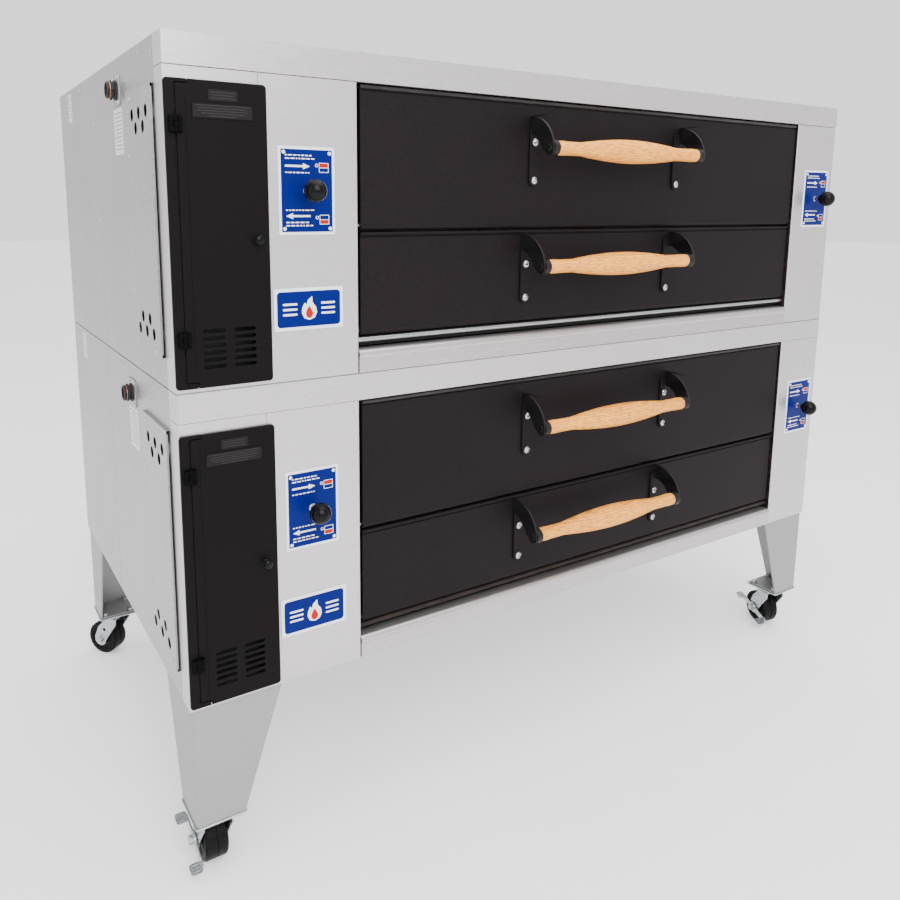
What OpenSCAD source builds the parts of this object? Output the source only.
// Twin-deck gas pizza oven on four tapered legs with swivel casters.
// X runs along the front from left to right, Y from the front face to the back, Z up from the floor.

/* [Cabinet] */
// Width over the side panels
cab_w = 1980; // [1900:10:2100]
// Depth from the front face to the back panel
cab_d = 1074; // [1040:2:1140]
// Height of one deck
deck_h = 632; // [628:2:660]
// Thickness of the casing sheet
sheet = 2; // [1.5:0.5:2.5]

/* [Front] */
// Height of the plain band along the top of a deck
band_h = 56; // [50:1:60]
// Distance from the left side to the door opening
opening_left = 372; // [366:1:380]
// Width of the door opening
opening_w = 1426; // [1400:2:1440]
// Height of the bottom rail
rail_h = 51; // [45:1:54]
// Depth that the front wraps round each side
return_d = 50; // [40:1:60]
// Height of the joint between the burner door and the baking door, above the deck's base
split_z = 289; // [280:1:295]

/* [Doors] */
// Gap at each end of a door
door_gap = 8; // [6:1:10]
// Baking door: how far its face sits behind the front
bake_recess = 5; // [4:1:7]
// Baking door: thickness
bake_t = 38; // [30:1:38]
// Burner door: how far its face sits behind the front
burner_recess = 8; // [6:1:10]
// Burner door: thickness
burner_t = 24; // [18:1:26]
// Radius of the round lower edge that a door turns on
edge_r = 10; // [9:0.5:11]
// Radius of a pivot pin
pivot_pin_r = 4; // [3:0.5:5]

/* [Handles] */
// Length of a wooden grip
grip_l = 456; // [400:2:480]
// Diameter of a grip at its ends
grip_end_d = 31; // [26:1:34]
// Diameter of a grip at its middle
grip_mid_d = 54; // [40:1:56]
// Distance of a grip's axis in front of the cabinet face
grip_out = 64; // [58:1:70]
// Distance between the two bolt columns of a handle
strap_span = 470; // [450:2:490]
// Width of a bracket's strap
strap_w = 26; // [22:1:30]

/* [Control side] */
// Width of the control door with its hinge strip
control_w = 184; // [176:1:190]
// Height of the control door
control_h = 545; // [530:1:550]
// Width of the fixed hinge strip
strip_w = 18; // [16:1:20]

/* [Heat controls] */
// Width of a heat control plate
plate_w = 116; // [100:1:120]
// Height of a heat control plate
plate_h = 165; // [150:1:175]
// Diameter of a damper knob
knob_d = 44; // [38:1:48]
// Distance of a damper knob's centre in front of the cabinet face
knob_out = 40; // [36:1:48]
// Radius of a damper rod
rod_r = 5; // [4:0.5:6]

/* [Stand] */
// Height of a leg, from caster plate to cabinet
leg_h = 258; // [220:2:300]
// Width of a leg at the top
leg_top = 186; // [160:2:200]
// Width of a leg's foot
foot_w = 102; // [96:1:106]
// Thickness of the leg sheet
leg_t = 4; // [3:0.5:5]

/* [Casters] */
// Height of a caster, from the floor to the top of its plate
caster_h = 142; // [138:1:150]
// Diameter of a wheel
wheel_d = 100; // [90:2:104]
// Width of a caster's top plate
caster_plate_w = 108; // [106:1:110]
// Width of a wheel
wheel_w = 50; // [30:1:54]
// Distance from the swivel axis back to the wheel axle
trail = 36; // [30:1:40]
// Radius of the wheel axle
axle_r = 5; // [4:0.5:6]

/* [Services] */
// How far a gas inlet stands out of the left side
inlet_out = 22; // [20:1:44]
// Radius of the thread in a gas inlet
inlet_thread_r = 13; // [12:0.5:14]
// Depth of the flue duct on the back
flue_d = 60; // [50:2:80]
// Width of the flue duct
flue_w = 320; // [260:10:360]

/* [Hidden] */
$fn = 48;

side_x = cab_w / 2;
cab_z = caster_h + leg_h;
LOWER = 0;
UPPER = 1;
running = 0.06;
touch = 0.02;
seam = 0.4;
// The door opening
open_x0 = opening_left - side_x;
open_x1 = open_x0 + opening_w;
open_top = deck_h - band_h;
door_x0 = open_x0 + door_gap;
door_x1 = open_x1 - door_gap;
door_w = door_x1 - door_x0;
chamber_y = return_d - 3;
// The origin sits under the middle of the whole outline
grip_front = grip_out + grip_mid_d / 2;
origin_x = inlet_out / 2;
origin_y = (grip_front - cab_d - flue_d) / 2;
// Door pivots: y behind the front, z above the deck's base
bake_pivot = [bake_recess + edge_r, split_z + 1 + edge_r];
burner_pivot = [burner_recess + edge_r, rail_h + 25 + edge_r];
bake_lip_z = open_top - 11;
bake_top_z = open_top - 3;
burner_top_z = split_z - 2;
burner_lip_z = burner_top_z - 7;
// Handles: middle of the pair of brackets, height of the grip above the deck's base
bake_handle_x = 65;
bake_grip_z = 466;
burner_handle_x = 50;
burner_grip_z = 207;
bake_bolts = [397, 481];
burner_bolts = [132, 209];
fin_t = 5;
fin_x = strap_span / 2 + strap_w / 2;
rod_in_grip_r = 4;
belly = 0.68;
// Heat controls
left_plate_x = opening_left - 109 - side_x;
right_plate_x = side_x - 80;
plate_z = 366;
badge_w = 145;
badge_h = 82;
badge_z = 141;
// Control side
control_z = 8;
control_t = 7;
control_hinge_x = strip_w - side_x;
hinge_r = 4.5;
control_hinge_y = -control_t - hinge_r - 0.4;
hinge_h = 28;
hinge_zs = [85, 462];
control_pull_x = 159 - side_x;
control_pull_z = 276;
service_x = 92 - side_x;
service_y = 120;
panel_y = 58;
dial_z = 400;
valve_z = 250;
gas_z = 568;
gas_y = 346;
burner_z = 120;
hearth_z = split_z + 3;
hearth_t = 24;
flue_z0 = cab_z + 430;
flue_z1 = cab_z + 2 * deck_h - 30;
flue_port_z = 500;
// Casters
leg_inset = 4;
plate_c = leg_inset + foot_w / 2;
axle_z = wheel_d / 2;
plate_t = 4;
head_z = caster_h - plate_t - 16;
kingpin_r = 6;
swivel_x = side_x - plate_c;
swivel_front_y = plate_c;
swivel_rear_y = cab_d - plate_c;
yaws = [0, -17, 38, -12];
lever_tilt = 17;
hex = 6;

function deck_z(deck) = cab_z + deck * deck_h;

module at_origin() {
    translate([origin_x, origin_y, 0])
        children();
}

module on_deck(deck) {
    at_origin()
        translate([0, 0, deck_z(deck)])
            children();
}

// Box given by its two corners
module block(a, b) {
    translate(a)
        cube([b[0] - a[0], b[1] - a[1], b[2] - a[2]]);
}

// Cylinders along X and along Y, starting at the given point
module bar_x(at, length, r) {
    translate(at)
        rotate([0, 90, 0])
            cylinder(h = length, r = r);
}

module bar_y(at, length, r) {
    translate(at)
        rotate([-90, 0, 0])
            cylinder(h = length, r = r);
}

// Outline in Y and Z pushed along X
module along_x(x0, length) {
    translate([x0, 0, 0])
        rotate([90, 0, 90])
            linear_extrude(length)
                children();
}

// Plate in the XZ plane with round corners, its back face at y = 0
module round_plate(x, z, w, h, t, r) {
    translate([x, 0, z])
        rotate([90, 0, 0])
            linear_extrude(t) {
                square([w - 2 * r, h], center = true);
                square([w, h - 2 * r], center = true);
                for (sx = [-1, 1], sz = [-1, 1])
                    translate([sx * (w / 2 - r), sz * (h / 2 - r)])
                        circle(r);
            }
}

// Slot in the XZ plane, cut through from y = -depth to y = depth
module slot_cut(x, z, length, width, depth) {
    for (end = [-1, 1])
        bar_y([x + end * (length - width) / 2, -depth, z], 2 * depth, width / 2);
    block([x - (length - width) / 2, -depth, z - width / 2],
          [x + (length - width) / 2, depth, z + width / 2]);
}

// ---- Stand ----

// One leg at the front left corner: two tapered plates folded at the outer corner
module leg_at_corner() {
    top = cab_z;
    foot = caster_h;
    outline = [[0, foot], [foot_w, foot], [leg_top, top], [0, top]];
    difference() {
        union() {
            along_x(0, leg_t)
                polygon(outline);
            translate([0, leg_t, 0])
                rotate([90, 0, 0])
                    linear_extrude(leg_t)
                        polygon(outline);
            block([leg_t, leg_t, foot], [foot_w, foot_w, foot + leg_t]);
            block([leg_t, leg_t, top - leg_t], [leg_top - 6, 40, top]);
            block([leg_t, 40, top - leg_t], [40, leg_top - 6, top]);
        }
        for (sx = [-1, 1], sy = [-1, 1])
            translate([foot_w / 2 + sx * 36, foot_w / 2 + sy * 36, foot - 1])
                cylinder(h = leg_t + 2, r = 5.3);
    }
}

module at_corners() {
    for (sx = [0, 1], sy = [0, 1])
        mirror([sx, 0, 0])
            translate([-side_x + leg_inset, sy * cab_d, 0])
                mirror([0, sy, 0])
                    translate([0, leg_inset, 0])
                        children();
}

module legs() {
    color("silver")
        at_origin()
            at_corners()
                leg_at_corner();
}

// Top plate of a caster with its kingpin and four bolts
module caster_plates() {
    color("lightgray")
        at_origin()
            at_corners()
                translate([foot_w / 2, foot_w / 2, 0]) {
                    block([-caster_plate_w / 2, -caster_plate_w / 2, caster_h - plate_t],
                          [caster_plate_w / 2, caster_plate_w / 2, caster_h]);
                    translate([0, 0, head_z - 6])
                        cylinder(h = caster_h - plate_t - head_z + 6, r = kingpin_r);
                    translate([0, 0, head_z - 6])
                        cylinder(h = 5.5, r = 11, $fn = hex);
                    for (sx = [-1, 1], sy = [-1, 1])
                        translate([sx * 36, sy * 36, 0]) {
                            translate([0, 0, caster_h])
                                cylinder(h = leg_t, r = 5);
                            translate([0, 0, caster_h + leg_t])
                                cylinder(h = 6, r = 9, $fn = hex);
                            translate([0, 0, caster_h - plate_t - 6])
                                cylinder(h = 6, r = 9, $fn = hex);
                        }
                }
}

// Places a caster: 0 front left, 1 front right, 2 rear left, 3 rear right
module at_caster(i) {
    at_origin()
        translate([(i % 2 == 0 ? -1 : 1) * swivel_x, i < 2 ? swivel_front_y : swivel_rear_y, 0])
            rotate([0, 0, yaws[i]])
                children();
}

// Swivel head and two fork legs with the axle
module fork(i) {
    inner = wheel_w / 2 + 4;
    side = [[-24, head_z], [24, head_z], [trail + 17, axle_z + 14], [trail + 20, axle_z],
            [trail + 14, axle_z - 14], [trail, axle_z - 20], [trail - 14, axle_z - 14],
            [trail - 20, axle_z + 2], [-24, head_z - 14]];
    color("lightgray")
        at_caster(i) {
            difference() {
                union() {
                    block([-inner - 3, -24, head_z], [inner + 3, 24, head_z + 4]);
                    translate([0, 0, head_z + 4])
                        cylinder(h = 11, r = 30);
                }
                translate([0, 0, head_z - 1])
                    cylinder(h = 30, r = kingpin_r + running);
            }
            for (s = [0, 1])
                mirror([s, 0, 0])
                    along_x(inner, 3)
                        difference() {
                            polygon(side);
                            if (i > 1)
                                translate([20, axle_z + 34])
                                    circle(5);
                        }
            bar_x([-inner, trail, axle_z], 2 * inner, axle_r);
            bar_x([inner + 3, trail, axle_z], 7, 9);
            if (i < 2) {
                bar_x([-inner - 10, trail, axle_z], 7, axle_r);
                bar_x([-inner - 18, trail, axle_z], 8, 9);
            } else
                bar_x([-inner - 10, trail, axle_z], 7, 9);
        }
}

module wheel(i) {
    r = wheel_d / 2;
    w = wheel_w / 2;
    color("black")
        at_caster(i)
            translate([0, trail, axle_z])
                rotate([0, 90, 0])
                    rotate_extrude($fn = 72)
                        polygon([[axle_r + running, -w - 3], [14, -w - 3], [16, -w], [r - 10, -w],
                                 [r - 4, -w + 2], [r - 1, -w + 7], [r, -w + 12], [r, w - 12],
                                 [r - 1, w - 7], [r - 4, w - 2], [r - 10, w], [16, w], [14, w + 3],
                                 [axle_r + running, w + 3]]);
}

// Brake lever beside the wheel, a straight bar on the axle with a foot tab at each end
module brake(i) {
    x1 = -wheel_w / 2 - 8.5;
    x0 = x1 - 4;
    color("lightgray")
        at_caster(i)
            translate([0, trail, axle_z])
                rotate([lever_tilt, 0, 0])
                    difference() {
                        union() {
                            block([x0, -66, -8], [x1, 58, 8]);
                            bar_x([x0, 0, 0], 4, 15);
                            block([x0 - 25, -72, -8], [x0, -46, -5]);
                            block([x0 - 25, 38, 5], [x0, 64, 8]);
                        }
                        bar_x([x0 - 1, 0, 0], 6, axle_r + running);
                    }
}

// ---- Casing ----

module back_panels() {
    color("darkgray")
        for (deck = [LOWER, UPPER])
            on_deck(deck)
                difference() {
                    block([sheet - side_x, cab_d - sheet, seam],
                          [side_x - sheet, cab_d, deck_h - seam]);
                    block([-120, cab_d - sheet - 1, flue_port_z - 40], [120, cab_d + 1, flue_port_z + 40]);
                }
}

module deck_floors() {
    color("darkgray")
        for (deck = [LOWER, UPPER])
            on_deck(deck)
                block([sheet - side_x, sheet, 0], [side_x - sheet, cab_d - sheet, sheet]);
}

module deck_tops() {
    color("silver")
        for (deck = [LOWER, UPPER])
            on_deck(deck)
                block([sheet - side_x, sheet, deck_h - sheet],
                      [side_x - sheet, cab_d - sheet, deck_h]);
}

module left_panels() {
    color("silver")
        for (deck = [LOWER, UPPER])
            on_deck(deck)
                difference() {
                    block([-side_x, return_d, seam], [sheet - side_x, cab_d, deck_h - seam]);
                    bar_x([-side_x - 1, gas_y, gas_z], sheet + 2, 14.5);
                    block([-side_x - 1, 90, 120], [sheet - side_x + 1, 200, 190]);
                    block([-side_x - 1, 90, 400], [sheet - side_x + 1, 200, 520]);
                }
}

module right_panels() {
    color("silver")
        for (deck = [LOWER, UPPER])
            on_deck(deck)
                block([side_x - sheet, return_d, seam], [side_x, cab_d, deck_h - seam]);
}

// Front of one deck, from folded sheets that butt against each other
module front_frame(deck) {
    rail = [[-1, 0], [-1, rail_h - 24], [0, rail_h - 22], [8, rail_h], [30, rail_h],
            [30, rail_h - sheet], [9.5, rail_h - sheet], [1.5, rail_h - 23], [1, 0]];
    control_x0 = 30 - side_x;
    control_x1 = control_w - 14 - side_x;
    face_top = open_top - seam;
    jamb_y = sheet + seam;
    color("gainsboro")
        on_deck(deck) {
            // Top band with its returns
            block([-side_x, -1.5, open_top], [side_x, sheet, deck_h]);
            for (x = [-side_x, side_x - sheet])
                block([x, jamb_y, open_top], [x + sheet, return_d, deck_h]);
            // Left corner, and the plates above and below the control opening
            block([-side_x, 0, 0], [control_x0, sheet, face_top]);
            block([-side_x, jamb_y, 0], [sheet - side_x, return_d, face_top]);
            block([control_x0 + seam, 0, 0], [control_x1 - seam, sheet, 34]);
            block([control_x0 + seam, 0, control_h - 18], [control_x1 - seam, sheet, face_top]);
            // Left stile and its jamb
            difference() {
                union() {
                    block([control_x1, 0, 0], [open_x0, sheet, face_top]);
                    block([open_x0 - sheet, jamb_y, sheet], [open_x0, chamber_y, face_top]);
                    bar_y([left_plate_x, sheet, plate_z], 22, rod_r + 4);
                }
                bar_y([left_plate_x, -2, plate_z], 30, rod_r + running);
                pivot_holes();
            }
            // Right stile with its jamb and return
            difference() {
                union() {
                    block([open_x1, 0, 0], [side_x, sheet, face_top]);
                    block([open_x1, jamb_y, sheet], [open_x1 + sheet, chamber_y, face_top]);
                    block([side_x - sheet, jamb_y, 0], [side_x, return_d, face_top]);
                    bar_y([right_plate_x, sheet, plate_z], 22, rod_r + 4);
                }
                bar_y([right_plate_x, -2, plate_z], 30, rod_r + running);
                pivot_holes();
            }
            // Header under the band, bottom rail and bright strip with its plate
            block([open_x0, jamb_y, open_top], [open_x1, chamber_y, open_top + sheet]);
            along_x(open_x0 + seam, opening_w - 2 * seam)
                polygon(rail);
            bar_x([open_x0 + seam, 17, rail_h + 16], opening_w - 2 * seam, 6);
            block([open_x0 + seam, 17, rail_h + 18], [open_x1 - seam, chamber_y, rail_h + 22]);
        }
}

module pivot_holes() {
    for (p = [bake_pivot, burner_pivot])
        bar_x([open_x0 - 9, p[0], p[1]], opening_w + 18, pivot_pin_r + touch);
}

module control_panels() {
    x0 = -side_x + sheet + 2;
    x1 = control_w - side_x - 14;
    color("gray")
        for (deck = [LOWER, UPPER])
            on_deck(deck) {
                difference() {
                    block([x0, panel_y, 20], [x1, panel_y + sheet, control_h]);
                    bar_y([service_x, panel_y - 1, dial_z], sheet + 2, rod_r + running);
                    bar_y([service_x, panel_y - 1, valve_z], sheet + 2, rod_r + running);
                }
                block([x0, sheet, 20], [x0 + sheet, panel_y, control_h]);
                block([x1 - sheet, sheet, 20], [x1, panel_y, control_h]);
            }
}

// Liner of the baking chamber and the burner space, open at the front
module chamber(deck) {
    wall = 3;
    back = cab_d - 70;
    color("dimgray")
        on_deck(deck) {
            difference() {
                block([open_x0, chamber_y, rail_h], [open_x1, back, open_top]);
                block([open_x0 + wall, chamber_y - 1, rail_h + wall],
                      [open_x1 - wall, back - wall, open_top - wall]);
                bar_x([open_x0 - 1, service_y, burner_z], wall + 2, 14);
                block([-110, back - wall - 1, flue_port_z - 30], [110, back + 1, flue_port_z + 30]);
            }
            for (x = [open_x0 + wall, open_x1 - wall - 22])
                block([x, chamber_y + 10, hearth_z - 6], [x + 22, back - wall, hearth_z]);
            for (y = [chamber_y + 13, 520, 940])
                block([open_x0 + wall, y, hearth_z - 24], [open_x1 - wall, y + 6, hearth_z]);
        }
}

module hearth_stones() {
    x0 = open_x0 + 5;
    pitch = (opening_w - 10) / 3;
    color("wheat")
        for (deck = [LOWER, UPPER])
            on_deck(deck)
                for (i = [0:2])
                    block([x0 + i * pitch + 0.5, chamber_y + 10, hearth_z],
                          [x0 + (i + 1) * pitch - 0.5, cab_d - 100, hearth_z + hearth_t]);
}

// Three burner tubes in each deck on one manifold
module burner_tubes() {
    manifold_y = service_y;
    color("slategray")
        for (deck = [LOWER, UPPER])
            on_deck(deck) {
                bar_x([open_x0 - 20, manifold_y, burner_z], 1180, 12);
                for (x = [-320, 90, 500]) {
                    difference() {
                        bar_y([x, manifold_y + 14, burner_z], 776, 22);
                        bar_y([x, manifold_y + 13, burner_z], 774, 20);
                        for (s = [-1, 1])
                            block([x + s * 12 - 2, manifold_y + 80, burner_z + 12],
                                  [x + s * 12 + 2, manifold_y + 740, burner_z + 24]);
                    }
                    for (y = [manifold_y + 60, manifold_y + 720])
                        block([x - 20, y, rail_h + 3], [x + 20, y + 4, burner_z - 18]);
                }
            }
}

// Pipe from the inlet to the thermostat body, the valve body and the manifold
module gas_train(deck) {
    pipe = 11;
    color("dimgray")
        on_deck(deck) {
            bar_x([sheet - side_x + 12, gas_y, gas_z], service_x + side_x - sheet - 12, pipe);
            translate([service_x, gas_y, gas_z])
                sphere(pipe + 3);
            bar_y([service_x, service_y, gas_z], gas_y - service_y, pipe);
            translate([service_x, service_y, gas_z])
                sphere(pipe + 3);
            translate([service_x, service_y, burner_z])
                cylinder(h = gas_z - burner_z, r = pipe);
            translate([service_x, service_y, burner_z])
                sphere(pipe + 3);
            bar_x([service_x, service_y, burner_z], open_x0 - 20 - service_x, pipe);
            difference() {
                block([service_x - 34, 76, dial_z - 45], [service_x + 34, 160, dial_z + 45]);
                bar_y([service_x, 70, dial_z], 26, rod_r + running);
            }
            difference() {
                block([service_x - 26, 86, valve_z - 28], [service_x + 26, 150, valve_z + 28]);
                bar_y([service_x, 80, valve_z], 22, rod_r + running);
            }
        }
}

module insulation() {
    y0 = 150;
    back = cab_d - 68;
    color("khaki")
        for (deck = [LOWER, UPPER])
            on_deck(deck) {
                block([open_x0 - 60, y0, open_top + 3], [open_x1 + 60, back - 4, deck_h - 4]);
                block([open_x0, back, rail_h], [-130, cab_d - 4, open_top]);
                block([130, back, rail_h], [open_x1, cab_d - 4, open_top]);
                block([open_x0 - 60, y0 + 20, rail_h], [open_x0 - 1, back - 4, open_top]);
                block([open_x1 + 1, y0, rail_h], [open_x1 + 60, back - 4, open_top]);
            }
}

// Raised cover over the air intake in the left side, open along its front edge
module vent_covers() {
    y0 = 58;
    y1 = 245;
    z0 = 56;
    z1 = 552;
    out = 7;
    rows = [[[94, 147, 200], z1 - 46], [[120, 174], z1 - 72],
            [[135, 189], z0 + 66], [[109, 162, 216], z0 + 40]];
    color("silver")
        for (deck = [LOWER, UPPER])
            on_deck(deck) {
                difference() {
                    block([-side_x - out, y0, z0], [1.5 - side_x - out, y1, z1]);
                    for (row = rows, y = row[0])
                        bar_x([-side_x - out - 1, y, row[1]], 4, 12);
                }
                block([1.5 - side_x - out, y1 - 1.5, z0], [-side_x, y1, z1]);
                block([1.5 - side_x - out, y0, z0], [-side_x, y1 - 1.5, z0 + 1.5]);
                block([1.5 - side_x - out, y0, z1 - 1.5], [-side_x, y1 - 1.5, z1]);
            }
}

module heat_plates() {
    color("royalblue")
        for (deck = [LOWER, UPPER], x = [left_plate_x, right_plate_x])
            on_deck(deck)
                difference() {
                    round_plate(x, plate_z, plate_w, plate_h, 1.5, 2);
                    bar_y([x, -3, plate_z], 6, rod_r + 3);
                }
}

module badges() {
    color("royalblue")
        for (deck = [LOWER, UPPER])
            on_deck(deck)
                round_plate(left_plate_x, badge_z, badge_w, badge_h, 2.5, 9);
}

// Threaded union on a small bracket, where the gas supply joins
module gas_inlets() {
    // Steps of the union as distance from the side, length and radius
    steps = [[3, 4, 20], [7, 3, 15.5], [10, 5, 18], [15, 2, 15.5], [17, inlet_out - 17, 17]];
    color("dimgray")
        for (deck = [LOWER, UPPER])
            on_deck(deck)
                difference() {
                    union() {
                        block([-side_x - 3, gas_y - 30, gas_z - 30], [-side_x, gas_y + 30, gas_z + 30]);
                        for (s = steps)
                            bar_x([-side_x - s[0] - s[1], gas_y, gas_z], s[1], s[2]);
                        for (sy = [-1, 1], sz = [-1, 1])
                            bar_x([-side_x - 6, gas_y + sy * 24, gas_z + sz * 24], 3, 4.5);
                        bar_x([-side_x, gas_y, gas_z], 14, 14);
                    }
                    bar_x([-side_x - inlet_out - 1, gas_y, gas_z], 17, inlet_thread_r);
                    bar_x([-side_x - inlet_out, gas_y, gas_z], inlet_out + 20, 10.5);
                }
}

// Upright duct that gathers the exhaust of both decks and opens at its top
module flue_duct() {
    wall = 1.5;
    w = flue_w / 2;
    color("darkgray")
        at_origin()
            difference() {
                block([-w, cab_d, flue_z0], [w, cab_d + flue_d, flue_z1]);
                block([-w + wall, cab_d + wall, flue_z0 + wall],
                      [w - wall, cab_d + flue_d - wall, flue_z1 + 1]);
                for (deck = [LOWER, UPPER])
                    block([-120, cab_d - 1, deck_z(deck) + flue_port_z - 40],
                          [120, cab_d + 5, deck_z(deck) + flue_port_z + 40]);
            }
}

// Fixed strip beside each control door with the hinge leaves, barrels and pins
module control_hinges() {
    third = hinge_h / 3;
    color("black")
        for (deck = [LOWER, UPPER])
            on_deck(deck) {
                block([-side_x, -control_t, control_z], [control_hinge_x - 1, 0, control_z + control_h]);
                for (z = hinge_zs)
                    translate([control_hinge_x, control_hinge_y, z]) {
                        for (dz = [0, 2 * third]) {
                            translate([0, 0, dz])
                                cylinder(h = third, r = hinge_r, $fn = 32);
                            block([-11, -hinge_r, dz], [0, 0, dz + third]);
                            block([-11, 0, dz], [-2, -control_t - control_hinge_y, dz + third]);
                        }
                        translate([0, 0, third])
                            cylinder(h = third, r = 2, $fn = 32);
                    }
            }
}

module door_pins() {
    length = 24;
    color("silver")
        for (deck = [LOWER, UPPER], p = [bake_pivot, burner_pivot])
            on_deck(deck) {
                bar_x([open_x0 - 4, p[0], p[1]], length, pivot_pin_r);
                bar_x([open_x1 + 4 - length, p[0], p[1]], length, pivot_pin_r);
            }
}

// ---- Baking and burner doors ----

// Hollow door: flat face, round lower edge on the pivot and a rolled lip along the top
module door(deck, recess, thick, pivot, top, lip_z) {
    skin = 2;
    color("dimgray")
        on_deck(deck)
            difference() {
                along_x(door_x0, door_w) {
                    translate([recess, pivot[1]])
                        square([thick, lip_z - 3 - pivot[1]]);
                    translate([pivot[0], pivot[1] - edge_r])
                        square([thick - edge_r, edge_r]);
                    translate(pivot)
                        circle(edge_r);
                    translate([recess + 2, lip_z - 3])
                        square([thick - 2, 3]);
                    translate([recess, lip_z])
                        square([thick, top - lip_z]);
                    translate([recess, (top + lip_z) / 2])
                        circle((top - lip_z) / 2);
                }
                block([door_x0 + 20, recess + edge_r + 8, pivot[1] + 2],
                      [door_x1 - 20, recess + thick - skin, top - skin]);
                block([door_x0 + 20, recess + skin, pivot[1] + 12],
                      [door_x1 - 20, recess + edge_r + 9, lip_z - 6]);
                for (x = [door_x0 - 1, door_x1 - 18])
                    bar_x([x, pivot[0], pivot[1]], 19, pivot_pin_r + running);
            }
}

// Outline of the swept fin: an outer arc from the door face down to the round end
module fin_outline(face_y, grip_z) {
    end_r = 17;
    big_r = 78;
    cy = big_r - grip_out - end_r + 2;
    cz = grip_z - 8;
    difference() {
        intersection() {
            translate([cy, cz])
                circle(big_r, $fn = 96);
            translate([-120, cz - 12])
                square([120 + face_y, 130]);
        }
        translate([14, grip_z - 31])
            circle(58, $fn = 96);
        translate([-grip_out, cz - 40])
            square([120, 40 - 4]);
    }
    translate([-grip_out, grip_z])
        circle(end_r);
}

// Pair of brackets joined by the tie rod that runs through the grip
module handle(deck, mid_x, recess, grip_z, bolt_zs) {
    face = recess;
    ferrule = fin_x - fin_t - grip_l / 2;
    color("black")
        on_deck(deck)
            translate([mid_x, 0, 0]) {
                for (s = [0, 1])
                    mirror([s, 0, 0]) {
                        x = strap_span / 2;
                        difference() {
                            union() {
                                block([x - strap_w / 2, face - 5, bolt_zs[0]],
                                      [x + strap_w / 2, face, grip_z + 52]);
                                bar_y([x, face - 5, bolt_zs[0]], 5, strap_w / 2);
                                along_x(fin_x - fin_t, fin_t)
                                    fin_outline(face, grip_z);
                            }
                            for (z = bolt_zs)
                                bar_y([x, face - 6, z], 8, 3.3);
                        }
                        for (z = bolt_zs)
                            translate([x, face - 5, z])
                                rotate([90, 0, 0]) {
                                    cylinder(h = 2, r = 10);
                                    translate([0, 0, 2])
                                        cylinder(h = 4, r1 = 9, r2 = 5);
                                }
                        bar_x([grip_l / 2, -grip_out, grip_z], ferrule, grip_end_d / 2 + 1.5);
                    }
                bar_x([-grip_l / 2, -grip_out, grip_z], grip_l, rod_in_grip_r);
            }
}

// Turned grip: slim ends and waists, full in the middle
function grip_r(t) = grip_end_d / 2
    + (grip_mid_d - grip_end_d) / 2 * (abs(t) < belly ? pow(cos(abs(t) / belly * 90), 0.95) : 0);

module grip(deck, mid_x, grip_z) {
    steps = 20;
    profile = [for (i = [-steps:steps]) [grip_r(i / steps), i / steps * grip_l / 2]];
    color("burlywood")
        on_deck(deck)
            translate([mid_x, -grip_out, grip_z])
                rotate([0, 90, 0])
                    rotate_extrude()
                        polygon(concat([[rod_in_grip_r + running, grip_l / 2],
                                        [rod_in_grip_r + running, -grip_l / 2]], profile));
}

// ---- Control door, dampers and valves ----

module control_door(deck) {
    x0 = control_hinge_x + 1;
    x1 = control_w - side_x;
    third = hinge_h / 3;
    face = -control_t;
    chamfer = 8;
    z1 = control_z + control_h;
    color("black")
        on_deck(deck) {
            difference() {
                translate([0, -0.5, 0])
                    rotate([90, 0, 0])
                        linear_extrude(control_t - 0.5)
                            polygon([[x0, control_z], [x1 - chamfer, control_z], [x1, control_z + chamfer],
                                     [x1, z1 - chamfer], [x1 - chamfer, z1], [x0, z1]]);
                block([x0 + 6, face + 1.5, control_z + 8], [x1 - 8, 0, z1 - 8]);
                for (row = [0:5], x = [73 - side_x, 131 - side_x])
                    slot_cut(x, control_z + 38 + row * 13, 40, 6, 12);
                bar_y([control_pull_x, -12, control_pull_z], 14, 3.1);
            }
            for (z = hinge_zs)
                difference() {
                    union() {
                        translate([control_hinge_x, control_hinge_y, z + third + 0.3])
                            cylinder(h = third - 0.6, r = hinge_r, $fn = 32);
                        block([control_hinge_x, control_hinge_y - hinge_r, z + third + 0.3],
                              [control_hinge_x + 11, face, z + 2 * third - 0.3]);
                    }
                    translate([control_hinge_x, control_hinge_y, z - 1])
                        cylinder(h = hinge_h + 2, r = 2 + running, $fn = 32);
                }
        }
}

module control_pull(deck) {
    color("black")
        on_deck(deck)
            translate([control_pull_x, 0, control_pull_z])
                rotate([90, 0, 0])
                    rotate_extrude()
                        polygon([[0, 1], [3, 1], [3, control_t], [6, control_t], [4.5, 12], [8, 16],
                                 [9, 20], [7.5, 24], [0, 25.5]]);
}

// Ball knob on a rod with the sliding vane at its inner end
module damper(deck, x) {
    color("black")
        on_deck(deck) {
            translate([x, -knob_out, plate_z])
                sphere(knob_d / 2);
            bar_y([x, -knob_out, plate_z], knob_out + 90, rod_r);
            block([x - 32, 90, plate_z - 20], [x + 32, 92, plate_z + 20]);
        }
}

module thermostat_dial(deck) {
    color("black")
        on_deck(deck)
            translate([service_x, 0, dial_z]) {
                bar_y([0, 32, 0], 16, 24);
                block([-4, 20, -22], [4, 32, 22]);
                bar_y([0, 48, 0], 44, rod_r);
            }
}

module valve_handle(deck) {
    color("firebrick")
        on_deck(deck)
            translate([service_x, 0, valve_z]) {
                bar_y([0, 36, 0], 64, rod_r);
                difference() {
                    block([-30, 30, -6], [30, 36, 6]);
                    bar_y([20, 29, 0], 8, 2.5);
                }
            }
}

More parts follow.
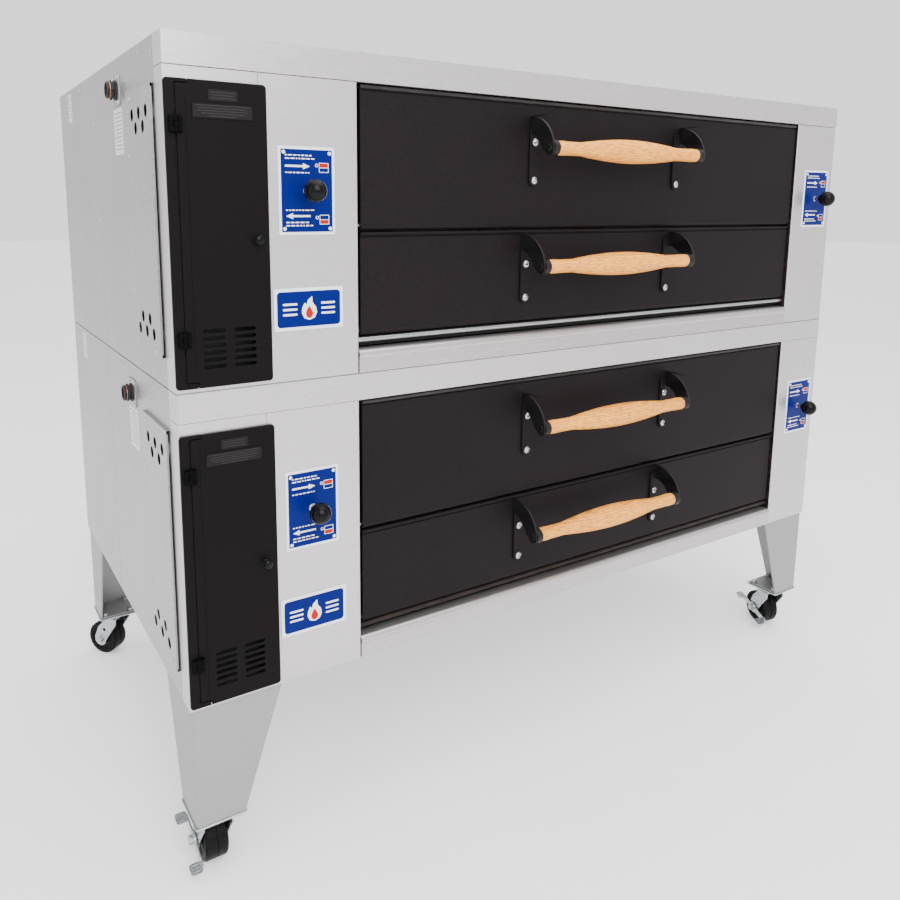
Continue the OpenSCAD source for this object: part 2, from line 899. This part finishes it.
legs();
caster_plates();
back_panels();
deck_floors();
deck_tops();
left_panels();
right_panels();
front_frame(UPPER);  // upper_front_frame
front_frame(LOWER);  // lower_front_frame
chamber(UPPER);  // upper_chamber
chamber(LOWER);  // lower_chamber
hearth_stones();
burner_tubes();
gas_train(UPPER);  // upper_gas_train
gas_train(LOWER);  // lower_gas_train
insulation();
vent_covers();
heat_plates();
badges();
control_hinges();
gas_inlets();
flue_duct();
control_panels();
door_pins();
door(UPPER, bake_recess, bake_t, bake_pivot, bake_top_z, bake_lip_z);  // upper_bake_door
door(LOWER, bake_recess, bake_t, bake_pivot, bake_top_z, bake_lip_z);  // lower_bake_door
door(UPPER, burner_recess, burner_t, burner_pivot, burner_top_z, burner_lip_z);  // upper_burner_door
door(LOWER, burner_recess, burner_t, burner_pivot, burner_top_z, burner_lip_z);  // lower_burner_door
handle(UPPER, bake_handle_x, bake_recess, bake_grip_z, bake_bolts);  // upper_bake_handle
handle(LOWER, bake_handle_x, bake_recess, bake_grip_z, bake_bolts);  // lower_bake_handle
handle(UPPER, burner_handle_x, burner_recess, burner_grip_z, burner_bolts);  // upper_burner_handle
handle(LOWER, burner_handle_x, burner_recess, burner_grip_z, burner_bolts);  // lower_burner_handle
grip(UPPER, bake_handle_x, bake_grip_z);  // upper_bake_grip
grip(LOWER, bake_handle_x, bake_grip_z);  // lower_bake_grip
grip(UPPER, burner_handle_x, burner_grip_z);  // upper_burner_grip
grip(LOWER, burner_handle_x, burner_grip_z);  // lower_burner_grip
control_door(UPPER);  // upper_control_door
control_door(LOWER);  // lower_control_door
control_pull(UPPER);  // upper_control_pull
control_pull(LOWER);  // lower_control_pull
damper(UPPER, left_plate_x);  // upper_left_damper
damper(UPPER, right_plate_x);  // upper_right_damper
damper(LOWER, left_plate_x);  // lower_left_damper
damper(LOWER, right_plate_x);  // lower_right_damper
thermostat_dial(UPPER);  // upper_thermostat_dial
thermostat_dial(LOWER);  // lower_thermostat_dial
valve_handle(UPPER);  // upper_valve_handle
valve_handle(LOWER);  // lower_valve_handle
fork(0);  // front_left_fork
fork(1);  // front_right_fork
fork(2);  // rear_left_fork
fork(3);  // rear_right_fork
wheel(0);  // front_left_wheel
wheel(1);  // front_right_wheel
wheel(2);  // rear_left_wheel
wheel(3);  // rear_right_wheel
brake(0);  // front_left_brake
brake(1);  // front_right_brake
